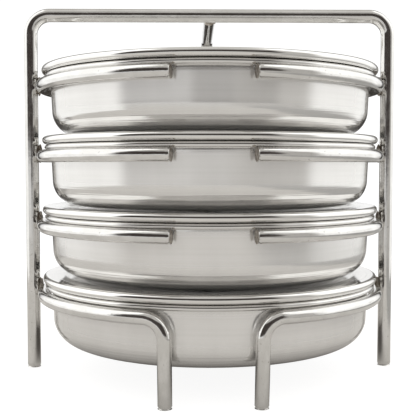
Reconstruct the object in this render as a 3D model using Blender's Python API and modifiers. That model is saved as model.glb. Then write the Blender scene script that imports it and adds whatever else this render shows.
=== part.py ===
"""Carrying rack of welded round rod with four lidded stainless steel pans stacked in it.

Metres, +Z up. The origin is at floor level, under the middle of the whole object's footprint.
The front, where the rings are open, faces -Y. The uprights stand at -X and +X.
Pieces are counted from the top: pan_1 is the highest, pan_4 the lowest.
"""

import math

import bmesh
import bpy

MM = 0.001
CLEARANCE = 0.3 * MM

# Rack
UPRIGHT_X = 107.75 * MM
HANDLE_HEIGHT = 213.2 * MM
HANDLE_ROD_RADIUS = 4.0 * MM
HANDLE_BEND_RADIUS = 11.5 * MM
RING_ROD_RADIUS = 3.75 * MM
RING_RADIUS = UPRIGHT_X - HANDLE_ROD_RADIUS - CLEARANCE - RING_ROD_RADIUS
RING_COUNT = 4
RING_PITCH = 40.6 * MM
BASE_RING_HEIGHT = 47.5 * MM
RING_GAP_ANGLE = math.radians(12.0)
FRONT_LEG_ANGLE = math.radians(14.3)
LEG_BEND_RADIUS = 11.0 * MM
FRONT_FOOT_SETBACK = 7.2 * MM
FOOT_STUB = 0.6 * MM
LEAN_CURVE = 8.0 * MM

# Pans, with heights measured from the middle of the ring that carries the pan
SHEET = 1.0 * MM
PAN_BEAD_RADIUS = 1.8 * MM
PAN_BEAD_CENTRE_R = 96.9 * MM
PAN_TOP_R = 95.0 * MM
PAN_FOOT_R = 94.1 * MM
PAN_CORNER_RADIUS = 14.5 * MM
PAN_DEPTH = 28.7 * MM

# Lids
LID_SHEET = 0.8 * MM
LID_BEAD_RADIUS = 2.3 * MM
LID_OUTER_R = 100.1 * MM
LID_WELL_TOP_R = 87.3 * MM
LID_WELL_FLOOR_R = 84.9 * MM
LID_WELL_DEPTH = 2.0 * MM

# Resting pieces touch bead on rod and bead on bead, with this gap between them
REST_GAP = 0.2 * MM

# Welds, as half sizes: towards the rod, across it and up it at a ring; along, behind and up the bar
RING_WELD_DEPTH = 2.6 * MM
RING_WELD_WIDTH = 3.6 * MM
RING_WELD_HEIGHT = 7.0 * MM
RING_WELD_RISE = 1.5 * MM
HANDLE_WELD_SIZE = (5.4 * MM, 2.4 * MM, 4.8 * MM)
HANDLE_WELD_DROP = 0.9 * MM
CUTTER_LENGTH = 40 * MM

# Where the bead circles meet the sheet, as angles from outwards, in degrees
PAN_BEAD_ARC = (130, -80)
LID_BEAD_ARC = (90, -140)

# Facets
TURNED_SEGMENTS = 40
RING_SEGMENTS = 40
BEND_SEGMENTS = 6
CORNER_SEGMENTS = 3
PAN_BEAD_SEGMENTS = 5
LID_BEAD_SEGMENTS = 6
ROD_BEVEL_RESOLUTION = 2
WELD_SEGMENTS = 12
WELD_RINGS = 7
CUTTER_SIDES = 32
MERGE_DISTANCE = 0.01 * MM


def ring_height(index):
    """Height of ring number index, 1 at the top."""
    return BASE_RING_HEIGHT + (RING_COUNT - index) * RING_PITCH


def resting_height(lower_r, lower_radius, upper_r, upper_radius):
    """How far the upper of two resting beads or rods stands above the lower one."""
    distance = lower_radius + upper_radius + REST_GAP
    return math.sqrt(distance**2 - (lower_r - upper_r) ** 2)


PAN_BEAD_Z = resting_height(RING_RADIUS, RING_ROD_RADIUS, PAN_BEAD_CENTRE_R, PAN_BEAD_RADIUS)
LID_BEAD_CENTRE_R = LID_OUTER_R - LID_BEAD_RADIUS
LID_BEAD_Z = PAN_BEAD_Z + resting_height(
    PAN_BEAD_CENTRE_R, PAN_BEAD_RADIUS, LID_BEAD_CENTRE_R, LID_BEAD_RADIUS
)

# The rear leg stands as far out as the uprights, and the rings' open ends reach furthest forward,
# so the middle of the footprint lies behind the stack's axis
REAR_LEG_Y = UPRIGHT_X
FRONT_REACH = (RING_RADIUS + RING_ROD_RADIUS) * math.cos(RING_GAP_ANGLE)
REAR_REACH = REAR_LEG_Y + HANDLE_ROD_RADIUS
AXIS_Y = (FRONT_REACH - REAR_REACH) / 2


def clear_scene():
    for obj in list(bpy.data.objects):
        bpy.data.objects.remove(obj, do_unlink=True)


def new_collection(name):
    collection = bpy.data.collections.new(name)
    bpy.context.scene.collection.children.link(collection)
    return collection


def steel(name, colour, roughness):
    material = bpy.data.materials.new(name)
    material.use_nodes = True
    shader = material.node_tree.nodes["Principled BSDF"]
    shader.inputs["Base Color"].default_value = (*colour, 1.0)
    shader.inputs["Metallic"].default_value = 1.0
    shader.inputs["Roughness"].default_value = roughness
    return material


def arc(centre, radius, start, end, segments):
    """Points of an arc in a plane, from one angle to another, in degrees."""
    points = []
    for step in range(segments + 1):
        angle = math.radians(start + (end - start) * step / segments)
        points.append((centre[0] + radius * math.cos(angle), centre[1] + radius * math.sin(angle)))
    return points


def rod(name, points, radius, material, rack):
    """A round rod bent along a path, cut flat at both ends."""
    curve = bpy.data.curves.new(name, "CURVE")
    curve.dimensions = "3D"
    curve.bevel_depth = radius
    curve.bevel_resolution = ROD_BEVEL_RESOLUTION
    curve.use_fill_caps = True
    spline = curve.splines.new("POLY")
    spline.points.add(len(points) - 1)
    for point, place in zip(spline.points, points):
        point.co = (*place, 1.0)
    curve.materials.append(material)
    piece = bpy.data.objects.new(name, curve)
    rack.collection.objects.link(piece)
    piece.parent = rack.axis
    return piece


def turned(name, profile, height, material, rack):
    """A round piece turned from a profile of (radius, height) points about the stack's axis."""
    mesh = bpy.data.meshes.new(name)
    shape = bmesh.new()
    verts = [shape.verts.new((r, 0.0, z)) for r, z in profile]
    for lower, upper in zip(verts, verts[1:]):
        shape.edges.new((lower, upper))
    shape.to_mesh(mesh)
    shape.free()
    mesh.materials.append(material)
    piece = bpy.data.objects.new(name, mesh)
    rack.collection.objects.link(piece)
    piece.parent = rack.axis
    piece.location.z = height
    screw = piece.modifiers.new("Turn", "SCREW")
    screw.axis = "Z"
    screw.angle = 2 * math.pi
    screw.steps = TURNED_SEGMENTS
    screw.render_steps = TURNED_SEGMENTS
    screw.use_merge_vertices = True
    screw.merge_threshold = MERGE_DISTANCE
    screw.use_smooth_shade = True
    return piece


class Rack:
    """What the pieces share: their collection, the cutters' collection and the stack's axis."""

    def __init__(self):
        self.collection = new_collection("pan_carrier")
        self.cutters = new_collection("cutters")
        self.axis = bpy.data.objects.new("stack_axis", None)
        self.axis.location = (0.0, AXIS_Y, 0.0)
        self.collection.objects.link(self.axis)


def handle_frame(material, rack):
    """Two uprights and the bar over the top that is the handle, bent from one rod."""
    corner_x = UPRIGHT_X - HANDLE_BEND_RADIUS
    corner_z = HANDLE_HEIGHT - HANDLE_BEND_RADIUS
    left = arc((-corner_x, corner_z), HANDLE_BEND_RADIUS, 180, 90, BEND_SEGMENTS)
    right = arc((corner_x, corner_z), HANDLE_BEND_RADIUS, 90, 0, BEND_SEGMENTS)
    outline = [(-UPRIGHT_X, 0.0), *left, *right, (UPRIGHT_X, 0.0)]
    points = [(x, 0.0, z) for x, z in outline]
    rod("handle_frame", points, HANDLE_ROD_RADIUS, material, rack)


def rear_leg(material, rack):
    """The rod that runs back from the middle of the handle bar and down behind the rings."""
    corner = (REAR_LEG_Y - HANDLE_BEND_RADIUS, HANDLE_HEIGHT - HANDLE_BEND_RADIUS)
    bend = arc(corner, HANDLE_BEND_RADIUS, 90, 0, BEND_SEGMENTS)
    start = (HANDLE_ROD_RADIUS + CLEARANCE, HANDLE_HEIGHT)
    outline = [start, *bend, (REAR_LEG_Y, 0.0)]
    points = [(0.0, y, z) for y, z in outline]
    rod("rear_leg", points, HANDLE_ROD_RADIUS, material, rack)


def on_ring(angle, height):
    """A point of a ring's middle line, at an angle from the front, which is -Y."""
    return (RING_RADIUS * math.sin(angle), -RING_RADIUS * math.cos(angle), height)


def open_ring(index, material, rack):
    """A ring that carries a pan by its bead, open at the front between two cut ends."""
    height = ring_height(index)
    sweep = 2 * math.pi - 2 * RING_GAP_ANGLE
    points = [
        on_ring(RING_GAP_ANGLE + sweep * step / RING_SEGMENTS, height)
        for step in range(RING_SEGMENTS + 1)
    ]
    rod(f"ring_{index}", points, RING_ROD_RADIUS, material, rack)


def front_leg(side):
    """One end of the base ring: up from its foot, leaning forward, then round a bend to the ring."""
    x, y, _ = on_ring(side * FRONT_LEG_ANGLE, 0.0)
    knee = BASE_RING_HEIGHT - LEG_BEND_RADIUS
    slope = FRONT_FOOT_SETBACK / (knee - FOOT_STUB - LEAN_CURVE / 2)
    points = [(x, y + FRONT_FOOT_SETBACK, 0.0), (x, y + FRONT_FOOT_SETBACK, FOOT_STUB)]
    for step in range(BEND_SEGMENTS, 0, -1):
        drop = LEAN_CURVE * step / BEND_SEGMENTS
        points.append((x, y + slope * drop * drop / (2 * LEAN_CURVE), knee - drop))
    for step in range(BEND_SEGMENTS + 1):
        turn = math.pi / 2 * step / BEND_SEGMENTS
        along = LEG_BEND_RADIUS * (1 - math.cos(turn)) / RING_RADIUS
        rise = BASE_RING_HEIGHT - LEG_BEND_RADIUS * (1 - math.sin(turn))
        points.append(on_ring(side * (FRONT_LEG_ANGLE + along), rise))
    return points


def base_ring(material, rack):
    """The lowest ring, whose two front ends bend down and are the front legs."""
    start = FRONT_LEG_ANGLE + LEG_BEND_RADIUS / RING_RADIUS
    sweep = 2 * math.pi - 2 * start
    level = [
        on_ring(start + sweep * step / RING_SEGMENTS, BASE_RING_HEIGHT)
        for step in range(1, RING_SEGMENTS)
    ]
    points = [*front_leg(1), *level, *reversed(front_leg(-1))]
    rod("base_ring", points, RING_ROD_RADIUS, material, rack)


def pan(index, material, rack):
    """A shallow round pan of thin sheet with a rolled bead that hangs on its ring."""
    corner_r = PAN_FOOT_R - PAN_CORNER_RADIUS
    corner_z = PAN_CORNER_RADIUS - PAN_DEPTH
    bead = (PAN_BEAD_CENTRE_R, PAN_BEAD_Z)
    profile = [
        (0.0, SHEET - PAN_DEPTH),
        *arc((corner_r, corner_z), PAN_CORNER_RADIUS - SHEET, -90, 0, CORNER_SEGMENTS),
        (PAN_TOP_R - SHEET, PAN_BEAD_Z),
        *arc(bead, PAN_BEAD_RADIUS, *PAN_BEAD_ARC, PAN_BEAD_SEGMENTS),
        (PAN_TOP_R, PAN_BEAD_Z - PAN_BEAD_RADIUS),
        *arc((corner_r, corner_z), PAN_CORNER_RADIUS, 0, -90, CORNER_SEGMENTS),
        (0.0, -PAN_DEPTH),
    ]
    turned(f"pan_{index}", profile, ring_height(index), material, rack)


def lid(index, material, rack):
    """A flat lid with a rolled bead that rests on the pan's bead, and a shallow sunk middle."""
    top = LID_BEAD_Z + LID_BEAD_RADIUS
    bead = (LID_BEAD_CENTRE_R, LID_BEAD_Z)
    profile = [
        (0.0, top - LID_WELL_DEPTH),
        (LID_WELL_FLOOR_R, top - LID_WELL_DEPTH),
        (LID_WELL_TOP_R, top),
        *arc(bead, LID_BEAD_RADIUS, *LID_BEAD_ARC, LID_BEAD_SEGMENTS),
        (LID_BEAD_CENTRE_R - LID_BEAD_RADIUS, top - LID_SHEET),
        (LID_WELL_TOP_R + LID_SHEET / 3, top - LID_SHEET),
        (LID_WELL_FLOOR_R + LID_SHEET / 3, top - LID_WELL_DEPTH - LID_SHEET),
        (0.0, top - LID_WELL_DEPTH - LID_SHEET),
    ]
    turned(f"lid_{index}", profile, ring_height(index), material, rack)


def cutter(name, place, radius, length, direction, rack):
    """A round bar that clears a rod, to cut a weld to the rod's shape."""
    mesh = bpy.data.meshes.new(name)
    shape = bmesh.new()
    bmesh.ops.create_cone(
        shape,
        cap_ends=True,
        segments=CUTTER_SIDES,
        radius1=radius + CLEARANCE,
        radius2=radius + CLEARANCE,
        depth=length,
    )
    shape.to_mesh(mesh)
    shape.free()
    piece = bpy.data.objects.new(name, mesh)
    rack.cutters.objects.link(piece)
    piece.parent = rack.axis
    piece.location = place
    turns = {"X": (0.0, math.pi / 2, 0.0), "Y": (math.pi / 2, 0.0, 0.0), "Z": (0.0, 0.0, 0.0)}
    piece.rotation_euler = turns[direction]
    piece.hide_render = True
    piece.display_type = "WIRE"
    return piece


def weld(name, place, size, cutters, material, rack):
    """A bead of weld metal: a swollen blob where two rods touch, cut to both of them."""
    mesh = bpy.data.meshes.new(name)
    shape = bmesh.new()
    bmesh.ops.create_uvsphere(
        shape, u_segments=WELD_SEGMENTS, v_segments=WELD_RINGS, radius=1.0
    )
    bmesh.ops.scale(shape, vec=size, verts=shape.verts)
    shape.to_mesh(mesh)
    shape.free()
    mesh.shade_smooth()
    mesh.materials.append(material)
    piece = bpy.data.objects.new(name, mesh)
    rack.collection.objects.link(piece)
    piece.parent = rack.axis
    piece.location = place
    for tool in cutters:
        cut = piece.modifiers.new(f"Fit {tool.name}", "BOOLEAN")
        cut.operation = "DIFFERENCE"
        cut.object = tool


def ring_welds(index, uprights, material, rack):
    """The welds that hold one ring to the left upright, the right upright and the rear leg."""
    height = ring_height(index)
    touch = RING_RADIUS + RING_ROD_RADIUS + CLEARANCE / 2
    side_size = (RING_WELD_DEPTH, RING_WELD_WIDTH, RING_WELD_HEIGHT)
    rear_size = (RING_WELD_WIDTH, RING_WELD_DEPTH, RING_WELD_HEIGHT)
    sides = {
        "left": ((-1.0, 0.0), "Y", side_size),
        "right": ((1.0, 0.0), "Y", side_size),
        "rear": ((0.0, 1.0), "X", rear_size),
    }
    for side, ((x, y), along, size) in sides.items():
        ring_place = (x * RING_RADIUS, y * RING_RADIUS, height)
        ring_cutter = cutter(
            f"cut_ring_{index}_{side}", ring_place, RING_ROD_RADIUS, CUTTER_LENGTH, along, rack
        )
        place = (x * touch, y * touch, height + RING_WELD_RISE)
        weld(f"weld_{side}_{index}", place, size, (uprights[side], ring_cutter), material, rack)


def handle_weld(material, rack):
    """The weld that holds the rear leg's end to the back of the handle bar."""
    bar_place = (0.0, 0.0, HANDLE_HEIGHT)
    leg_place = (0.0, CUTTER_LENGTH / 2, HANDLE_HEIGHT)
    bar = cutter("cut_bar", bar_place, HANDLE_ROD_RADIUS, CUTTER_LENGTH, "X", rack)
    leg = cutter("cut_leg_end", leg_place, HANDLE_ROD_RADIUS, CUTTER_LENGTH, "Y", rack)
    place = (0.0, HANDLE_ROD_RADIUS, HANDLE_HEIGHT - HANDLE_WELD_DROP)
    weld("weld_handle", place, HANDLE_WELD_SIZE, (bar, leg), material, rack)


def build():
    clear_scene()
    rack = Rack()
    polished = steel("polished_rod", (0.66, 0.64, 0.61), 0.12)
    satin = steel("satin_sheet", (0.70, 0.68, 0.65), 0.28)
    bright = steel("bright_lid", (0.70, 0.68, 0.65), 0.16)
    weld_metal = steel("weld_metal", (0.30, 0.26, 0.22), 0.55)

    handle_frame(polished, rack)
    rear_leg(polished, rack)
    for index in range(1, RING_COUNT):
        open_ring(index, polished, rack)
    base_ring(polished, rack)
    for index in range(1, RING_COUNT + 1):
        pan(index, satin, rack)
        lid(index, bright, rack)

    middle = HANDLE_HEIGHT / 2
    posts = {"left": (-UPRIGHT_X, 0.0), "right": (UPRIGHT_X, 0.0), "rear": (0.0, REAR_LEG_Y)}
    uprights = {
        side: cutter(f"cut_{side}", (x, y, middle), HANDLE_ROD_RADIUS, HANDLE_HEIGHT, "Z", rack)
        for side, (x, y) in posts.items()
    }
    for index in range(1, RING_COUNT + 1):
        ring_welds(index, uprights, weld_metal, rack)
    handle_weld(weld_metal, rack)


build()
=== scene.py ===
"""Looks of the stacked pan carrier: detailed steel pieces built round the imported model.

Metres, +Z up, the open front of the rack facing -Y. Pieces are counted from the top.
"""

import math

import bmesh
import bpy
import numpy as np
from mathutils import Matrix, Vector, noise


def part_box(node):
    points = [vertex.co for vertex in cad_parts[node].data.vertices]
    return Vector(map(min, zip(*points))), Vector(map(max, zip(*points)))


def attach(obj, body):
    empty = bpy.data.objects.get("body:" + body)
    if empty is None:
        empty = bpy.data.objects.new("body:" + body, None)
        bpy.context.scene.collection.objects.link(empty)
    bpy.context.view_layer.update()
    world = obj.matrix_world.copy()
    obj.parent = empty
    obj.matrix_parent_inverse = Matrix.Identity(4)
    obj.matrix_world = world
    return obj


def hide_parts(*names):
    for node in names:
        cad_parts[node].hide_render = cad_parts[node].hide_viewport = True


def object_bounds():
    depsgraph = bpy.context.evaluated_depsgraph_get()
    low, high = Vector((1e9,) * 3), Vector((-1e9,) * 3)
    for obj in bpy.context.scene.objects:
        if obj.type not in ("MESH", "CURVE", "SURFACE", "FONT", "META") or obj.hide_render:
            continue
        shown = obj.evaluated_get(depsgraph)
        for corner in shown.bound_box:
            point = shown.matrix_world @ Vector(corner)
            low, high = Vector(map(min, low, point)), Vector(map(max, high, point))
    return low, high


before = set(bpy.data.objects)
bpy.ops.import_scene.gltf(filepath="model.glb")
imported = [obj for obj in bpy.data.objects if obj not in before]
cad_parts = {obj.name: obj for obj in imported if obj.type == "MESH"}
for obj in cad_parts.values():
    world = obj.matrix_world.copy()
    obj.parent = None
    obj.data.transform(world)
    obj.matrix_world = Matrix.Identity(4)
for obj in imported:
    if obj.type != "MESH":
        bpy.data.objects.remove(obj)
cad_low, cad_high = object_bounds()

MM = 0.001
LEVELS = range(1, 5)

# Rods of the rack
BEND_RADIUS = 11.5 * MM
LEG_BEND_RADIUS = 11.0 * MM
RING_GAP = math.radians(12.2)
LEG_ANGLE = math.radians(14.3)
LEG_SETBACK = 7.2 * MM
LEG_LEAN_CURVE = 8.0 * MM
LEG_STUB = 1.6 * MM
ROD_CLEARANCE = 0.3 * MM
ROD_SIDES = 40
ROD_STEP = 1.5 * MM
BEND_STEPS = 14
EDGE_ROUND = 0.55 * MM
EDGE_MARGIN = 1.6 * EDGE_ROUND
EDGE_STEPS = 5
CAP_RINGS = np.array([0.3, 0.65, 0.9])
RING_POINTS = 220
BLOB_SUBDIVISIONS = 4
BLOB_FILL = 0.86
BLOB_SEED_STEPS = (3.7, 1.9, 5.3)
BLOB_GRAIN, BLOB_FINE_GRAIN, BLOB_WANDER_GRAIN = 1.6, 3.1, 1.3
BLOB_LUMPS, BLOB_FINE_LUMPS = 0.16, 0.07
BLOB_RIPPLES, BLOB_RIPPLE_TURNS, BLOB_WANDER = 0.05, 16, 2.5
HEAT_REACH = 6.5 * MM
HEAT_STRETCH = np.array([1.0, 1.0, 1.5])
END_HEAT = 0.9

# Pans
SHEET = 1.0 * MM
CORNER_RADIUS = 14.5 * MM
CORNER_STEPS, INNER_CORNER_STEPS = 30, 24
CURL_STEPS, CURL_BACK_STEPS = 40, 20
WALL_FADE = 2.0 * MM
WALL_TOP_INSET = 3.7 * MM
WALL_FOOT_INSET = 4.6 * MM
WALL_DRAFT = 0.1 * MM
NECK_INSIDE, NECK_OUTSIDE, NECK_FOOT = 3.0 * MM, 2.6 * MM, 5.0 * MM
NECK_DRAFT = 0.2 * MM
DISC_RINGS = (0.02, 0.3, 0.6, 0.85, 0.97)
CORNER_POLISH = ((0, 0.3, 0.6, 1), (0, 0.75, 0.6, 0.1))
CURL_WIDTH, CURL_HEIGHT = 2.35 * MM, 1.8 * MM
CURL_SHEET = 0.85 * MM
CURL_END = math.radians(-118)

# Lids
LID_SHEET = 0.8 * MM
LID_CURL_RADIUS = 2.3 * MM
LID_CURL_END = math.radians(-190)
LID_CURL_STEPS, LID_CURL_BACK_STEPS = 44, 22
WELL_TOP_INSET = 12.8 * MM
WELL_FLOOR_INSET = 15.2 * MM
WELL_DEPTH = 2.0 * MM
WELL_BEND = 1.6 * MM
WELL_STEPS = 8
WELL_SHIFT = LID_SHEET / 3
LID_DISC_RINGS = (0.02, 0.3, 0.6, 0.85)

TURN_SEGMENTS = 240


# --- Mesh building -------------------------------------------------------------------------


def rounded(corners, steps=BEND_STEPS):
    """A path through corners of (point, fillet radius), with each corner turned into an arc."""
    points = [np.array(point, float) for point, _ in corners]
    path = [points[0]]
    for before, (_, radius), corner, after in zip(points, corners[1:], points[1:], points[2:]):
        if radius == 0:
            path.append(corner)
            continue
        back = (before - corner) / np.linalg.norm(before - corner)
        ahead = (after - corner) / np.linalg.norm(after - corner)
        half = math.acos(np.clip(back @ ahead, -1, 1)) / 2
        middle = (back + ahead) / np.linalg.norm(back + ahead)
        centre = corner + middle * radius / math.sin(half)
        start = corner + back * radius / math.tan(half) - centre
        end = corner + ahead * radius / math.tan(half) - centre
        sweep = math.pi - 2 * half
        for step in range(steps + 1):
            share = sweep * step / steps
            path.append(
                centre + (start * math.sin(sweep - share) + end * math.sin(share)) / math.sin(sweep)
            )
    path.append(points[-1])
    return np.array(path)


def ellipse(centre, width, height, start, end, steps):
    angles = np.linspace(start, end, steps + 1)
    return np.stack(
        [centre[0] + width * np.cos(angles), centre[1] + height * np.sin(angles)], axis=1
    )


def lengths_along(path):
    return np.concatenate([[0.0], np.cumsum(np.linalg.norm(np.diff(path, axis=0), axis=1))])


def resampled(path, step):
    """The same path with a point at least every step, keeping its own points."""
    along = lengths_along(path)
    places = [along[:1]]
    for start, end in zip(along, along[1:]):
        parts = max(1, math.ceil((end - start) / step))
        places.append(np.linspace(start, end, parts + 1)[1:])
    places = np.concatenate(places)
    return np.stack([np.interp(places, along, path[:, k]) for k in range(path.shape[1])], axis=1)


def grid_faces(rows, columns):
    """Faces between closed rows of points, each row with the same number of columns."""
    row = np.arange(rows - 1)[:, None] * columns
    column = np.arange(columns)[None, :]
    after = (column + 1) % columns
    corners = [row + column, row + after, row + columns + after, row + columns + column]
    return np.stack(corners, axis=2).reshape(-1, 4)


def fan_faces(row_start, columns, tip, reverse):
    """Triangles from one closed row of points to a tip."""
    column = np.arange(columns)
    faces = [row_start + column, row_start + (column + 1) % columns, np.full(columns, tip)]
    faces = np.stack(faces, axis=1)
    return faces[:, ::-1] if reverse else faces


def signed_volume(points, faces):
    """Six times the volume that the faces enclose, negative where they face inwards."""
    total = 0.0
    for group in faces:
        for k in range(1, group.shape[1] - 1):
            first, second, third = (points[group[:, column]] for column in (0, k, k + 1))
            total += np.sum(first * np.cross(second, third))
    return total


def mesh_piece(name, points, faces, materials, slots=None, attributes=()):
    """A smooth closed mesh object, its faces turned outwards, with point attributes."""
    if signed_volume(points, faces) < 0:
        faces = [group[:, ::-1] for group in faces]
    mesh = bpy.data.meshes.new(name)
    mesh.from_pydata(points.tolist(), [], [face for group in faces for face in group.tolist()])
    for material in materials:
        mesh.materials.append(material)
    if slots is not None:
        mesh.polygons.foreach_set("material_index", slots)
    for label, values in attributes:
        values = np.asarray(values, np.float32)
        if values.ndim == 2:
            layer = mesh.attributes.new(label, "FLOAT_VECTOR", "POINT")
            layer.data.foreach_set("vector", values.ravel())
        else:
            layer = mesh.attributes.new(label, "FLOAT", "POINT")
            layer.data.foreach_set("value", values)
    mesh.shade_smooth()
    mesh.update()
    piece = bpy.data.objects.new(name, mesh)
    bpy.context.scene.collection.objects.link(piece)
    return piece


def turned(name, profile, polish, axis, materials):
    """A profile of (radius, height) that starts and ends on the stack's axis, turned about it."""
    inner = profile[1:-1]
    angles = np.linspace(0, 2 * math.pi, TURN_SEGMENTS, endpoint=False)
    around = np.stack([np.cos(angles), np.sin(angles)], axis=1)
    along = lengths_along(profile)
    rows = len(inner)
    points = np.empty((rows, TURN_SEGMENTS, 3))
    points[:, :, :2] = inner[:, None, :1] * around[None]
    points[:, :, 2] = inner[:, 1:]
    grain = np.empty_like(points)
    grain[:, :, :2] = points[:, :, :2]
    grain[:, :, 2] = along[1:-1, None]
    points = points.reshape(-1, 3)
    grain = grain.reshape(-1, 3)
    first, last = len(points), len(points) + 1
    points = np.vstack([points, [0, 0, profile[0][1]], [0, 0, profile[-1][1]]])
    grain = np.vstack([grain, [0, 0, along[0]], [0, 0, along[-1]]])
    shine = np.concatenate([np.repeat(polish[1:-1], TURN_SEGMENTS), [polish[0], polish[-1]]])
    faces = [
        grid_faces(rows, TURN_SEGMENTS),
        fan_faces(0, TURN_SEGMENTS, first, True),
        fan_faces((rows - 1) * TURN_SEGMENTS, TURN_SEGMENTS, last, False),
    ]
    points += np.array([*axis, 0.0])
    attributes = [("grain", grain), ("polish", shine)]
    return mesh_piece(name, points, faces, materials, attributes=attributes)


def frames_along(path):
    """Unit tangents and two unit normals at each point, carried along without twist."""
    tangents = np.gradient(path, axis=0)
    tangents /= np.linalg.norm(tangents, axis=1)[:, None]
    side = np.cross(tangents[0], [0.0, 1.0, 0.0])
    if np.linalg.norm(side) < 0.3:
        side = np.cross(tangents[0], [1.0, 0.0, 0.0])
    sides = []
    for tangent in tangents:
        side = side - tangent * (side @ tangent)
        side = side / np.linalg.norm(side)
        sides.append(side)
    sides = np.array(sides)
    return tangents, sides, np.cross(tangents, sides)


def heat_at(points, welds):
    """How strongly the steel was heated at each point by the welds near it, 0 to 1."""
    heat = np.zeros(len(points))
    for centre in welds:
        distance = np.linalg.norm((points - centre) / HEAT_STRETCH, axis=1)
        heat = np.maximum(heat, np.exp(-((distance / HEAT_REACH) ** 2)))
    return heat


def rod(name, path, radius, materials, welds):
    """A round rod along a path, its ends cut flat with rounded edges and slightly rough faces."""
    path = resampled(np.asarray(path, float), ROD_STEP)
    tangents, sides, ups = frames_along(path)
    along = lengths_along(path)
    total = along[-1]
    turns = np.linspace(0, math.pi / 2, EDGE_STEPS)
    setbacks = EDGE_ROUND * (1 - np.sin(turns))
    insets = EDGE_ROUND * (1 - np.cos(turns[::-1]))
    keep = (along > EDGE_MARGIN) & (along < total - EDGE_MARGIN)
    places = np.concatenate([setbacks[::-1], along[keep], total - setbacks])
    radii = np.concatenate([radius - insets[::-1], np.full(keep.sum(), radius), radius - insets])
    cap_radii = (radius - EDGE_ROUND) * CAP_RINGS
    places = np.concatenate([np.zeros(len(CAP_RINGS)), places, np.full(len(CAP_RINGS), total)])
    radii = np.concatenate([cap_radii, radii, cap_radii[::-1]])

    def at(values):
        return np.stack([np.interp(places, along, values[:, k]) for k in range(3)], axis=1)

    centres, side, up = at(path), at(sides), at(ups)
    angles = np.linspace(0, 2 * math.pi, ROD_SIDES, endpoint=False)
    cos, sin = np.cos(angles)[None, :, None], np.sin(angles)[None, :, None]
    spokes = side[:, None] * cos + up[:, None] * sin
    points = (centres[:, None] + spokes * radii[:, None, None]).reshape(-1, 3)
    local = np.zeros((len(places), ROD_SIDES, 3))
    local[:, :, 0] = np.cos(angles) * radii[:, None]
    local[:, :, 1] = np.sin(angles) * radii[:, None]
    local[:, :, 2] = places[:, None]
    grain = local.reshape(-1, 3)
    rows = len(places)
    first, last = len(points), len(points) + 1
    points = np.vstack([points, path[0], path[-1]])
    grain = np.vstack([grain, [0, 0, 0], [0, 0, total]])
    faces = [
        grid_faces(rows, ROD_SIDES),
        fan_faces(0, ROD_SIDES, first, True),
        fan_faces((rows - 1) * ROD_SIDES, ROD_SIDES, last, False),
    ]
    slots = np.zeros(len(faces[0]), int)
    cap_faces = len(CAP_RINGS) * ROD_SIDES
    slots[:cap_faces] = 1
    slots[-cap_faces:] = 1
    slots = np.concatenate([slots, np.ones(2 * ROD_SIDES, int)])
    heat = np.maximum(heat_at(points, welds), END_HEAT * heat_at(points, [path[0], path[-1]]))
    attributes = [("grain", grain), ("heat", heat)]
    return mesh_piece(name, points, faces, materials, slots.tolist(), attributes)


def blob(name, low, high, materials, seed):
    """A lump of weld metal in the middle of a box: swollen and rippled."""
    shape = bmesh.new()
    bmesh.ops.create_icosphere(shape, subdivisions=BLOB_SUBDIVISIONS, radius=1.0)
    points = np.array([vert.co for vert in shape.verts])
    faces = np.array([[vert.index for vert in face.verts] for face in shape.faces])
    shape.free()
    offset = Vector([seed * step for step in BLOB_SEED_STEPS])
    swell = []
    for point in points:
        place = Vector(point) * BLOB_GRAIN + offset
        lump = BLOB_LUMPS * noise.noise(place)
        lump += BLOB_FINE_LUMPS * noise.noise(place * BLOB_FINE_GRAIN)
        wander = BLOB_WANDER * noise.noise(place * BLOB_WANDER_GRAIN)
        ripple = BLOB_RIPPLES * math.sin(point[2] * BLOB_RIPPLE_TURNS + wander)
        swell.append(1 + lump + ripple)
    points = points * np.array(swell)[:, None]
    low, high = np.array(low), np.array(high)
    half = BLOB_FILL * (high - low) / 2
    points = points / np.abs(points).max(0) * half + (high + low) / 2
    return mesh_piece(name, points, [faces], materials, attributes=[("grain", points)])


# --- Materials -----------------------------------------------------------------------------

# How many grains of each texture fit in a metre, each way. On sheet the first two ways are
# across the stack's axis and the third is along the profile. On rod the first two are across
# the rod and the third is along it.
SPUN_LINES, SPUN_BANDS, SHEET_RIPPLES = (26, 26, 3600), (9, 9, 620), (7, 7, 480)
SHEET_WEAR, SMUDGES = (30, 30, 42), (75, 75, 14)
DRAWN_LINES, ROD_WEAR = (2400, 2400, 45), (170, 170, 70)
ROD_PITS, HEAT_SPECKLE = (900, 900, 700), (800, 800, 500)
SAW_LINES, SAW_STAIN = (3500, 500, 300), (600, 600, 400)
WELD_LUMPS, WELD_STAIN = (1100, 1100, 1100), (350, 350, 350)

LINE_DEPTH, SAW_DEPTH, WELD_DEPTH = 0.03 * MM, 0.1 * MM, 0.4 * MM
ROD_WAVE = 0.6 * MM

# Sheet: what each texture adds to the shade, and how rough and how lined it is
BAND_SHARE, WEAR_SHARE, SMUDGE_SHARE = 0.4, 0.25, 0.35
SHADE_RANGE, WEAR_RANGE, RIPPLE_FADE = (0.3, 0.7), (0.35, 0.7), (0.8, 0.95)
SATIN_SPREAD, BRIGHT_SPREAD = 0.1, 1.7
LINE_STRENGTH, LINES_POLISHED_OFF, BAND_HEIGHT = 0.22, 0.17, 0.8
QUARTER_TURN = 0.25

# Rod: cloudy shade, pits, heat tint and relief
CLOUD_RANGE, CLOUD_ROUGH_RANGE, ROD_ROUGH = (0.35, 0.7), (0.3, 0.75), (0.07, 0.16)
PIT_RANGE, PIT_SHARE, PIT_HEIGHT = (0.68, 0.75), 0.5, -2.0
SPECKLE_SHARE, TINT_RANGE, TINT_ROUGH = 0.7, (0.85, 1.35), 0.3
ROD_LINE_STRENGTH, ROD_WAVE_STRENGTH = 0.1, 0.12

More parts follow.
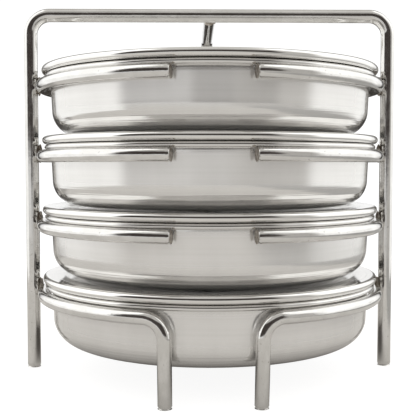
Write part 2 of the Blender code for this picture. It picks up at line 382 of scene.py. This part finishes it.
# Cut ends and welds: stains, and how rough they are from their low spots to their high ones
STAIN_RANGE, ROUGH_RANGE = (0.35, 0.65), (0.3, 0.7)
CUT_ROUGH, WELD_ROUGH = (0.55, 0.32), (0.28, 0.6)
SAW_STRENGTH, WELD_STRENGTH = 0.5, 0.7

ROD_LIGHT, ROD_DARK = (0.79, 0.78, 0.765), (0.7, 0.69, 0.67)
PIT_BROWN, HEAT_BROWN = (0.2, 0.18, 0.16), (0.17, 0.13, 0.1)
CUT_DARK, CUT_LIGHT = (0.2, 0.17, 0.14), (0.5, 0.46, 0.41)
WELD_DARK, WELD_LIGHT = (0.24, 0.2, 0.165), (0.56, 0.52, 0.47)


def add(tree, kind, inputs=None, **settings):
    """A node with its settings, and inputs given as values or as other nodes' sockets."""
    made = tree.nodes.new(kind)
    for key, value in settings.items():
        setattr(made, key, value)
    for key, value in (inputs or {}).items():
        if isinstance(value, bpy.types.NodeSocket):
            tree.links.new(value, made.inputs[key])
        else:
            made.inputs[key].default_value = value
    return made


def attribute(tree, name, socket="Fac"):
    return add(tree, "ShaderNodeAttribute", attribute_name=name).outputs[socket]


def scaled(tree, vector, scale):
    node = add(tree, "ShaderNodeVectorMath", {0: vector, 1: scale}, operation="MULTIPLY")
    return node.outputs[0]


def clouds(tree, vector, detail, rough=0.5, distortion=0.0):
    inputs = {"Vector": vector, "Scale": 1.0, "Detail": detail}
    inputs.update({"Roughness": rough, "Distortion": distortion})
    return add(tree, "ShaderNodeTexNoise", inputs).outputs["Fac"]


def spread(tree, value, low, high, to_low, to_high):
    """value from low..high mapped smoothly to to_low..to_high, held at the ends."""
    inputs = {"Value": value, 1: low, 2: high, 3: to_low, 4: to_high}
    return add(tree, "ShaderNodeMapRange", inputs, interpolation_type="SMOOTHSTEP").outputs[0]


def maths(tree, operation, first, second=0.0):
    return add(tree, "ShaderNodeMath", {0: first, 1: second}, operation=operation).outputs[0]


def rising(tree, value, low, high):
    return spread(tree, value, low, high, 0, 1)


def falling(tree, value, low, high):
    return spread(tree, value, low, high, 1, 0)


def times(tree, first, second):
    return maths(tree, "MULTIPLY", first, second)


def plus(tree, first, second):
    return maths(tree, "ADD", first, second)


def mixed(tree, factor, first, second):
    """A colour between two colours."""
    node = add(tree, "ShaderNodeMix", data_type="RGBA")
    sockets = [node.inputs[k] for k in (0, 6, 7)]
    for socket, value in zip(sockets, (factor, first, second)):
        if isinstance(value, bpy.types.NodeSocket):
            tree.links.new(value, socket)
        elif isinstance(value, tuple):
            socket.default_value = (*value, 1.0)
        else:
            socket.default_value = value
    return node.outputs[2]


def blended(tree, factor, first, second):
    """A number between two numbers."""
    node = add(tree, "ShaderNodeMix", {0: factor, 2: first, 3: second}, data_type="FLOAT")
    return node.outputs[0]


def bumped(tree, height, strength, distance, normal=None):
    inputs = {"Height": height, "Strength": strength, "Distance": distance}
    if normal is not None:
        inputs["Normal"] = normal
    return add(tree, "ShaderNodeBump", inputs).outputs[0]


def new_material(name):
    material = bpy.data.materials.new(name)
    material.use_nodes = True
    tree = material.node_tree
    shader = tree.nodes["Principled BSDF"]
    shader.inputs["Metallic"].default_value = 1.0
    return material, tree, shader


def feed(tree, shader, **sockets):
    for key, socket in sockets.items():
        tree.links.new(socket, shader.inputs[key.replace("_", " ")])


def sheet_steel(name, light, dark, satin, bright, anisotropy, milky, wave):
    """Spun sheet: fine lines round the axis, cloudy wear, and polished where the sheet is bent."""
    material, tree, shader = new_material(name)
    grain = attribute(tree, "grain", "Vector")
    polish = attribute(tree, "polish")
    lines = clouds(tree, scaled(tree, grain, SPUN_LINES), detail=3)
    bands = clouds(tree, scaled(tree, grain, SPUN_BANDS), detail=3)
    wear = clouds(tree, scaled(tree, grain, SHEET_WEAR), detail=4, rough=0.6)
    smudges = clouds(tree, scaled(tree, grain, SMUDGES), detail=5, rough=0.65, distortion=0.4)
    shade = plus(tree, times(tree, bands, BAND_SHARE), times(tree, wear, WEAR_SHARE))
    shade = plus(tree, shade, times(tree, smudges, SMUDGE_SHARE))
    colour = mixed(tree, rising(tree, shade, *SHADE_RANGE), dark, light)
    smooth = spread(tree, wear, *WEAR_RANGE, bright, bright * BRIGHT_SPREAD)
    rough = plus(tree, satin - SATIN_SPREAD / 2, times(tree, bands, SATIN_SPREAD))
    roughness = blended(tree, polish, rough, smooth)
    height = plus(tree, lines, times(tree, bands, BAND_HEIGHT))
    strength = maths(tree, "SUBTRACT", LINE_STRENGTH, times(tree, polish, LINES_POLISHED_OFF))
    fine = bumped(tree, height, strength, LINE_DEPTH)
    ripples = clouds(tree, scaled(tree, grain, SHEET_RIPPLES), detail=2)
    waves = times(tree, polish, falling(tree, polish, *RIPPLE_FADE))
    normal = bumped(tree, ripples, waves, wave, fine)
    metallic = blended(tree, polish, 1.0 - milky, 1.0)
    tangent = add(tree, "ShaderNodeTangent", direction_type="RADIAL", axis="Z").outputs[0]
    feed(tree, shader, Base_Color=colour, Roughness=roughness, Normal=normal)
    feed(tree, shader, Metallic=metallic, Tangent=tangent)
    shader.inputs["Anisotropic"].default_value = anisotropy
    shader.inputs["Anisotropic Rotation"].default_value = QUARTER_TURN
    return material


def rod_steel(name, light, dark):
    """Drawn and polished rod: faint lines along it, small pits, and brown heat tint at welds."""
    material, tree, shader = new_material(name)
    grain = attribute(tree, "grain", "Vector")
    heat = attribute(tree, "heat")
    lines = clouds(tree, scaled(tree, grain, DRAWN_LINES), detail=3)
    cloud = clouds(tree, scaled(tree, grain, ROD_WEAR), detail=5, rough=0.65)
    specks = clouds(tree, scaled(tree, grain, ROD_PITS), detail=2)
    pits = rising(tree, specks, *PIT_RANGE)
    speckle = clouds(tree, scaled(tree, grain, HEAT_SPECKLE), detail=3, rough=0.7)
    heat = plus(tree, heat, times(tree, speckle, SPECKLE_SHARE))
    tint = rising(tree, heat, *TINT_RANGE)
    colour = mixed(tree, rising(tree, cloud, *CLOUD_RANGE), dark, light)
    colour = mixed(tree, times(tree, pits, PIT_SHARE), colour, PIT_BROWN)
    colour = mixed(tree, tint, colour, HEAT_BROWN)
    rough = spread(tree, cloud, *CLOUD_ROUGH_RANGE, *ROD_ROUGH)
    rough = plus(tree, rough, times(tree, tint, TINT_ROUGH))
    height = plus(tree, lines, times(tree, pits, PIT_HEIGHT))
    fine = bumped(tree, height, ROD_LINE_STRENGTH, LINE_DEPTH)
    normal = bumped(tree, cloud, ROD_WAVE_STRENGTH, ROD_WAVE, fine)
    feed(tree, shader, Base_Color=colour, Roughness=rough, Normal=normal)
    return material


def cut_steel(name):
    """A sawn and ground rod end: dull, brownish, with saw lines."""
    material, tree, shader = new_material(name)
    grain = attribute(tree, "grain", "Vector")
    lines = clouds(tree, scaled(tree, grain, SAW_LINES), detail=3)
    stain = clouds(tree, scaled(tree, grain, SAW_STAIN), detail=3)
    colour = mixed(tree, rising(tree, stain, *STAIN_RANGE), CUT_DARK, CUT_LIGHT)
    rough = spread(tree, stain, *ROUGH_RANGE, *CUT_ROUGH)
    normal = bumped(tree, lines, SAW_STRENGTH, SAW_DEPTH)
    feed(tree, shader, Base_Color=colour, Roughness=rough, Normal=normal)
    return material


def weld_steel(name):
    """Weld metal: rippled, pitted and browned."""
    material, tree, shader = new_material(name)
    grain = attribute(tree, "grain", "Vector")
    lumps = clouds(tree, scaled(tree, grain, WELD_LUMPS), detail=5, rough=0.65)
    stain = clouds(tree, scaled(tree, grain, WELD_STAIN), detail=3)
    colour = mixed(tree, rising(tree, stain, *STAIN_RANGE), WELD_DARK, WELD_LIGHT)
    rough = spread(tree, lumps, *ROUGH_RANGE, *WELD_ROUGH)
    normal = bumped(tree, lumps, WELD_STRENGTH, WELD_DEPTH)
    feed(tree, shader, Base_Color=colour, Roughness=rough, Normal=normal)
    return material


pan_steel = sheet_steel(
    "pan_steel",
    light=(0.81, 0.8, 0.785),
    dark=(0.73, 0.72, 0.705),
    satin=0.17,
    bright=0.07,
    anisotropy=0.5,
    milky=0.3,
    wave=0.4 * MM,
)
lid_steel = sheet_steel(
    "lid_steel",
    light=(0.86, 0.85, 0.83),
    dark=(0.78, 0.77, 0.75),
    satin=0.22,
    bright=0.06,
    anisotropy=0.7,
    milky=0.55,
    wave=0.6 * MM,
)
rod_finish = rod_steel("rod_steel", ROD_LIGHT, ROD_DARK)
cut_finish = cut_steel("cut_end_steel")
weld_finish = weld_steel("weld_steel")


# --- The rack ------------------------------------------------------------------------------


def place_piece(piece, node, body):
    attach(piece, body)
    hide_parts(node)


def middle_of(node):
    low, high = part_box(node)
    return (low + high) / 2


WELDS = [f"weld_{side}_{level}" for level in LEVELS for side in ("left", "right", "rear")]
WELDS.append("weld_handle")
weld_places = [np.array(middle_of(node)) for node in WELDS]

pan_middle = middle_of("pan_1")
axis = (pan_middle.x, pan_middle.y)
handle_low, handle_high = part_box("handle_frame")
handle_radius = (handle_high.y - handle_low.y) / 2
upright_x = handle_high.x - handle_radius
bar_z = handle_high.z - handle_radius
ring_low, ring_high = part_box("ring_1")
ring_rod_radius = (ring_high.z - ring_low.z) / 2
ring_radius = upright_x - handle_radius - ROD_CLEARANCE - ring_rod_radius
rod_materials = [rod_finish, cut_finish]


def on_ring(angle, height):
    """A point of a ring's middle line, at an angle from the front."""
    across, forward = ring_radius * math.sin(angle), ring_radius * math.cos(angle)
    return (axis[0] + across, axis[1] - forward, height)


def leg_lean(heights, knee):
    """How far back a front leg stands at each height: 0 above the knee, then a straight lean."""
    drop = np.clip(knee - heights, 0, knee - LEG_STUB)
    slope = LEG_SETBACK / (knee - LEG_STUB - LEG_LEAN_CURVE / 2)
    curved = drop * drop / (2 * LEG_LEAN_CURVE)
    return slope * np.where(drop < LEG_LEAN_CURVE, curved, drop - LEG_LEAN_CURVE / 2)


def rack_rod(name, node, path, radius):
    piece = rod(name, path, radius, rod_materials, weld_places)
    place_piece(piece, node, "rack")


corners = [((-upright_x, 0), 0), ((-upright_x, bar_z), BEND_RADIUS)]
corners += [((upright_x, bar_z), BEND_RADIUS), ((upright_x, 0), 0)]
outline = rounded(corners)
path = [(x, axis[1], z) for x, z in outline]
rack_rod("handle_rod", "handle_frame", path, handle_radius)

rear_low, rear_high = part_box("rear_leg")
rear_y = rear_high.y - handle_radius
outline = rounded([((rear_low.y, bar_z), 0), ((rear_y, bar_z), BEND_RADIUS), ((rear_y, 0), 0)])
rack_rod("rear_leg_rod", "rear_leg", [(axis[0], y, z) for y, z in outline], handle_radius)

ring_z = {level: middle_of(f"ring_{level}").z for level in (1, 2, 3)}
ring_z[4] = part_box("base_ring")[1].z - ring_rod_radius
for level in (1, 2, 3):
    angles = np.linspace(RING_GAP, 2 * math.pi - RING_GAP, RING_POINTS)
    path = [on_ring(angle, ring_z[level]) for angle in angles]
    rack_rod(f"ring_rod_{level}", f"ring_{level}", path, ring_rod_radius)

leg_s = LEG_ANGLE * ring_radius
far_s = 2 * math.pi * ring_radius - leg_s
corners = [((leg_s, 0), 0), ((leg_s, ring_z[4]), LEG_BEND_RADIUS)]
corners += [((far_s, ring_z[4]), LEG_BEND_RADIUS), ((far_s, 0), 0)]
outline = resampled(rounded(corners), ROD_STEP)
path = np.array([on_ring(s / ring_radius, z) for s, z in outline])
path[:, 1] += leg_lean(outline[:, 1], ring_z[4] - LEG_BEND_RADIUS)
rack_rod("base_ring_rod", "base_ring", path, ring_rod_radius)

for seed, node in enumerate(WELDS):
    low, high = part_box(node)
    piece = blob(f"{node}_bead", low, high, [weld_finish], seed + 1)
    place_piece(piece, node, "rack")


# --- Pans and lids -------------------------------------------------------------------------


def joined(parts):
    """One profile from runs of points, and the polish at each point from each run's polish."""
    profile = np.vstack([np.asarray(points, float) for points, _ in parts])
    polish = np.concatenate([np.broadcast_to(shine, len(points)) for points, shine in parts])
    return profile, polish


def pan_profile(radius, bottom, top):
    """Inside, rolled rim and outside of a pan, as (radius, height), and how polished each is."""
    foot = radius - WALL_FOOT_INSET
    centre = (foot - CORNER_RADIUS, bottom + CORNER_RADIUS)
    rim = (radius - CURL_WIDTH, top - CURL_HEIGHT)
    wall_foot = bottom + CORNER_RADIUS + WALL_FADE
    along_corner = np.linspace(0, 1, CORNER_STEPS + 1)
    into_corner = np.interp(along_corner, *CORNER_POLISH)
    inner = CORNER_RADIUS - SHEET
    curl = (CURL_WIDTH - CURL_SHEET, CURL_HEIGHT - CURL_SHEET)
    neck = radius - WALL_TOP_INSET
    parts = [
        ([(0.0, bottom + SHEET)], 0.5),
        ([(centre[0] * k, bottom + SHEET) for k in DISC_RINGS], 0.5),
        (ellipse(centre, inner, inner, -math.pi / 2, 0, INNER_CORNER_STEPS), 0.8),
        ([(foot - SHEET + WALL_DRAFT, wall_foot)], 0.1),
        ([(neck - SHEET, rim[1] - NECK_INSIDE)], 0.1),
        (ellipse(rim, CURL_WIDTH, CURL_HEIGHT, math.pi, CURL_END, CURL_STEPS), 1.0),
        (ellipse(rim, *curl, CURL_END, math.pi, CURL_BACK_STEPS), 1.0),
        ([(neck, rim[1] - NECK_OUTSIDE)], 0.3),
        ([(neck - NECK_DRAFT, rim[1] - NECK_FOOT)], 0.0),
        ([(foot + WALL_DRAFT, wall_foot)], 0.0),
        (ellipse(centre, CORNER_RADIUS, CORNER_RADIUS, 0, -math.pi / 2, CORNER_STEPS), into_corner),
        ([(centre[0] * k, bottom) for k in DISC_RINGS[::-1]], 0.05),
        ([(0.0, bottom)], 0.05),
    ]
    return joined(parts)


def lid_profile(radius, top):
    """Top, rolled rim and underside of a lid, as (radius, height), and how polished each is."""
    rim = (radius - LID_CURL_RADIUS, top - LID_CURL_RADIUS)
    well_top, well_floor = radius - WELL_TOP_INSET, radius - WELL_FLOOR_INSET
    floor = top - WELL_DEPTH
    corners = [((0.0, floor), 0), ((well_floor, floor), WELL_BEND)]
    corners += [((well_top, top), WELL_BEND), ((rim[0], top), 0)]
    face = rounded(corners, WELL_STEPS)
    under_top, under_floor = top - LID_SHEET, floor - LID_SHEET
    corners = [((rim[0], under_top), 0)]
    corners.append(((well_top + WELL_SHIFT, under_top), WELL_BEND - LID_SHEET))
    corners.append(((well_floor + WELL_SHIFT, under_floor), WELL_BEND + LID_SHEET))
    corners.append(((0.0, under_floor), 0))
    back = rounded(corners, WELL_STEPS)
    inner = LID_CURL_RADIUS - LID_SHEET
    outer = LID_CURL_RADIUS
    outside = ellipse(rim, outer, outer, math.pi / 2, LID_CURL_END, LID_CURL_STEPS)
    inside = ellipse(rim, inner, inner, LID_CURL_END, math.pi / 2, LID_CURL_BACK_STEPS)
    discs = [(well_floor * k, floor) for k in LID_DISC_RINGS]
    under = [(well_floor * k, under_floor) for k in LID_DISC_RINGS[::-1]]
    parts = [
        (face[:1], 0.35),
        (discs, 0.35),
        (face[1:-1], 0.6),
        (outside, 1.0),
        (inside[:-1], 1.0),
        (back[:-1], 0.4),
        (under, 0.3),
        (back[-1:], 0.3),
    ]
    return joined(parts)


for level in LEVELS:
    low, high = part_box(f"pan_{level}")
    profile, polish = pan_profile((high.x - low.x) / 2, low.z, high.z)
    piece = turned(f"pan_shell_{level}", profile, polish, axis, [pan_steel])
    place_piece(piece, f"pan_{level}", f"pan_{level}")

    low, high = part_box(f"lid_{level}")
    profile, polish = lid_profile((high.x - low.x) / 2, high.z)
    piece = turned(f"lid_cover_{level}", profile, polish, axis, [lid_steel])
    place_piece(piece, f"lid_{level}", f"lid_{level}")


# --- Floor, light and camera ---------------------------------------------------------------

FLOOR_SIDE, FLOOR_FRONT = 0.5, 0.62
FLOOR_DROP = 0.2 * MM
FLOOR_WHITE, FLOOR_MATT = (0.9, 0.9, 0.9), (0.22, 0.215, 0.21, 1.0)

# The floor's glow as the steel's mirrored rays see it: a painted shadow near the part, painted
# shade behind it and at the right, and the distances over which each sets in
FLOOR_MIRROR_GLOW, FLOOR_SHADE = (0.42, 0.405, 0.38), (0.05, 0.045, 0.04)
FLOOR_SHADE_BEHIND, FLOOR_SHADE_RIGHT = (0.13, 0.12, 0.11), (0.19, 0.19, 0.185)
FLOOR_SHADE_REACH, FLOOR_BEHIND_FROM, FLOOR_RIGHT_FROM = (0.06, 0.13), (0.16, 0.26), (0.21, 0.25)

# What the steel sees mirrored in the room
ROOM_WHITE, ROOM_LOW, ROOM_HIGH = (1.0, 1.0, 1.0), (0.66, 0.65, 0.63), (0.9, 0.89, 0.87)
CEILING_FRONT, CEILING_BACK = (0.57, 0.555, 0.53), (0.47, 0.455, 0.42)
SOFTBOX_LOW, SOFTBOX_HIGH = (1.2, 1.2, 1.18), (1.42, 1.42, 1.4)
EDGE_DARK, BACK_DARK = (0.06, 0.055, 0.05), (0.05, 0.045, 0.04)
RIGHT_GREY, FRONT_DARK = (0.55, 0.535, 0.51), (0.058, 0.049, 0.045)
FILL_LIGHT, BACKDROP = (1.15, 1.14, 1.11), (1.1, 1.1, 1.1)

# Where that is, in degrees: turns from straight in front, positive to the right, and heights
# over the horizon
ROOM_FOOT, ROOM_TOP, CEILING_TURN, CEILING_FOOT = (-6, 0), (5, 30), (40, 120), (30, 50)
SIDE_TURN, SIDE_HEIGHT, SOFTBOX_FADE = (64, 140), (-12, 70), (2, 14)
LEFT_TURN, LEFT_HEIGHT = (-140, -64), (-30, 0)
EDGE_TURN, EDGE_TOP = (148, 165), (30, 60)
BACK_TURN, BACK_HEIGHT = (147, 153), (-20, 0)
RIGHT_TURN, RIGHT_TOP = (14, 72), (30, 38)
FRONT_TURN, FRONT_FOOT, FRONT_TOP = (-65, 46), (-1, 2), (39, 45)
AHEAD_TURN, AHEAD_FOOT = (-14, 16), (-5, 1)
SHARP_EDGE, HEIGHT_EDGE, TURN_EDGE, SOFT_EDGE = 3, 4, 5, 7

LIGHT_BOUNCES = 16

TOP_LIGHT_SIZE, TOP_LIGHT_PLACE, TOP_LIGHT_WATTS = (1.4, 1.0), (0.0, 0.1, 1.5), 1.0
CAMERA_LENS, CAMERA_SENSOR = 70.46, 36.0
CAMERA_RIGHT, CAMERA_FORWARD, CAMERA_HEIGHT = -0.0103, -0.4967, 0.1237
CAMERA_DOWN, CAMERA_TURN = math.radians(3.06), math.radians(-1.06)


def pale_floor():
    """A white table top that glows, so that only a soft trace of shadow lies on it.

    The camera sees it plain white. Mirrored rays see a dimmer glow, with a painted shadow near the
    part and painted shade behind it and at the right.
    """
    height = cad_low.z - FLOOR_DROP
    signs = [(-1, -1), (1, -1), (1, 1), (-1, 1)]
    mesh = bpy.data.meshes.new("floor")
    points = [(x * FLOOR_SIDE, y * FLOOR_FRONT, height) for x, y in signs]
    mesh.from_pydata(points, [], [(0, 1, 2, 3)])
    floor = bpy.data.objects.new("floor", mesh)
    bpy.context.scene.collection.objects.link(floor)
    material = bpy.data.materials.new("floor_white")
    material.use_nodes = True
    tree = material.node_tree
    tree.nodes.remove(tree.nodes["Principled BSDF"])
    place = add(tree, "ShaderNodeTexCoord").outputs["Object"]
    distance = add(tree, "ShaderNodeVectorMath", {0: place}, operation="LENGTH").outputs["Value"]
    aside, behind, _ = add(tree, "ShaderNodeSeparateXYZ", {0: place}).outputs
    # Painted shadow in the glow near the part, and painted shade behind it and at the right, seen
    # only by mirrored rays
    mirror_glow = mixed(tree, rising(tree, distance, *FLOOR_SHADE_REACH), FLOOR_SHADE, FLOOR_MIRROR_GLOW)
    mirror_glow = mixed(tree, rising(tree, behind, *FLOOR_BEHIND_FROM), mirror_glow, FLOOR_SHADE_BEHIND)
    mirror_glow = mixed(tree, rising(tree, aside, *FLOOR_RIGHT_FROM), mirror_glow, FLOOR_SHADE_RIGHT)
    camera_ray = add(tree, "ShaderNodeLightPath").outputs["Is Camera Ray"]
    colour = mixed(tree, camera_ray, mirror_glow, FLOOR_WHITE)
    glow = add(tree, "ShaderNodeEmission", {"Color": colour})
    matt = add(tree, "ShaderNodeBsdfDiffuse", {"Color": FLOOR_MATT})
    both = add(tree, "ShaderNodeAddShader", {0: glow.outputs[0], 1: matt.outputs[0]})
    tree.links.new(both.outputs[0], tree.nodes["Material Output"].inputs["Surface"])
    mesh.materials.append(material)


def window(tree, value, low, high, soft):
    """1 where a value in degrees is between low and high, 0 outside, with soft edges."""
    rise = rising(tree, value, low - soft, low + soft)
    fall = falling(tree, value, high - soft, high + soft)
    return times(tree, rise, fall)


def studio_world():
    """A dim room in front, tall softboxes at both sides, and a paler ceiling and back wall.

    Only mirrored rays see the room. The other rays get even light, and the camera a white
    backdrop.
    """
    world = bpy.data.worlds.new("studio")
    bpy.context.scene.world = world
    world.use_nodes = True
    tree = world.node_tree
    background = tree.nodes["Background"]
    direction = add(tree, "ShaderNodeTexCoord").outputs["Generated"]
    x, y, z = add(tree, "ShaderNodeSeparateXYZ", {0: direction}).outputs
    turn = maths(tree, "DEGREES", maths(tree, "ARCTAN2", x, times(tree, y, -1.0)))
    facing = maths(tree, "ABSOLUTE", turn)
    height = maths(tree, "DEGREES", maths(tree, "ARCSINE", z))

    def patch(turned_to, within, soft, tall):
        return times(tree, window(tree, turned_to, *within, soft), tall)

    def up_to(heights):
        return falling(tree, height, *heights)

    def up_from(heights):
        return rising(tree, height, *heights)

    shade = mixed(tree, up_from(ROOM_FOOT), ROOM_LOW, ROOM_WHITE)
    shade = mixed(tree, up_from(ROOM_TOP), shade, ROOM_HIGH)
    ceiling = mixed(tree, rising(tree, facing, *CEILING_TURN), CEILING_FRONT, CEILING_BACK)
    shade = mixed(tree, up_from(CEILING_FOOT), shade, ceiling)
    tall = window(tree, height, *SIDE_HEIGHT, HEIGHT_EDGE)
    side = patch(facing, SIDE_TURN, TURN_EDGE, tall)
    low = window(tree, height, *LEFT_HEIGHT, HEIGHT_EDGE)
    left = patch(turn, LEFT_TURN, TURN_EDGE, low)
    softbox = mixed(tree, up_from(SOFTBOX_FADE), SOFTBOX_LOW, SOFTBOX_HIGH)
    shade = mixed(tree, maths(tree, "MAXIMUM", side, left), shade, softbox)
    edge = patch(facing, EDGE_TURN, SHARP_EDGE, up_to(EDGE_TOP))
    shade = mixed(tree, edge, shade, EDGE_DARK)
    behind = rising(tree, facing, *BACK_TURN)
    back = times(tree, behind, window(tree, height, *BACK_HEIGHT, SHARP_EDGE))
    shade = mixed(tree, back, shade, BACK_DARK)
    right = patch(turn, RIGHT_TURN, SOFT_EDGE, up_to(RIGHT_TOP))
    shade = mixed(tree, right, shade, RIGHT_GREY)
    front = patch(turn, FRONT_TURN, TURN_EDGE, up_from(FRONT_FOOT))
    ahead = patch(turn, AHEAD_TURN, TURN_EDGE, up_from(AHEAD_FOOT))
    front = times(tree, maths(tree, "MAXIMUM", front, ahead), up_to(FRONT_TOP))
    shade = mixed(tree, front, shade, FRONT_DARK)
    rays = add(tree, "ShaderNodeLightPath").outputs
    shade = mixed(tree, rays["Is Glossy Ray"], FILL_LIGHT, shade)
    shade = mixed(tree, rays["Is Camera Ray"], shade, BACKDROP)
    tree.links.new(shade, background.inputs["Color"])


def top_softbox():
    light = bpy.data.lights.new("top_softbox", "AREA")
    light.shape = "RECTANGLE"
    light.size, light.size_y = TOP_LIGHT_SIZE
    light.energy = TOP_LIGHT_WATTS
    lamp = bpy.data.objects.new("top_softbox", light)
    lamp.location = TOP_LIGHT_PLACE
    bpy.context.scene.collection.objects.link(lamp)


def camera_in_front():
    data = bpy.data.cameras.new("camera")
    data.lens = CAMERA_LENS
    data.sensor_width = CAMERA_SENSOR
    camera = bpy.data.objects.new("camera", data)
    camera.location = (axis[0] + CAMERA_RIGHT, axis[1] + CAMERA_FORWARD, CAMERA_HEIGHT)
    camera.rotation_euler = (math.pi / 2 - CAMERA_DOWN, 0.0, CAMERA_TURN)
    bpy.context.scene.collection.objects.link(camera)
    bpy.context.scene.camera = camera


pale_floor()
studio_world()
top_softbox()
camera_in_front()
bpy.context.scene.cycles.max_bounces = LIGHT_BOUNCES
bpy.context.scene.cycles.glossy_bounces = LIGHT_BOUNCES
bpy.context.scene.view_settings.view_transform = "Standard"
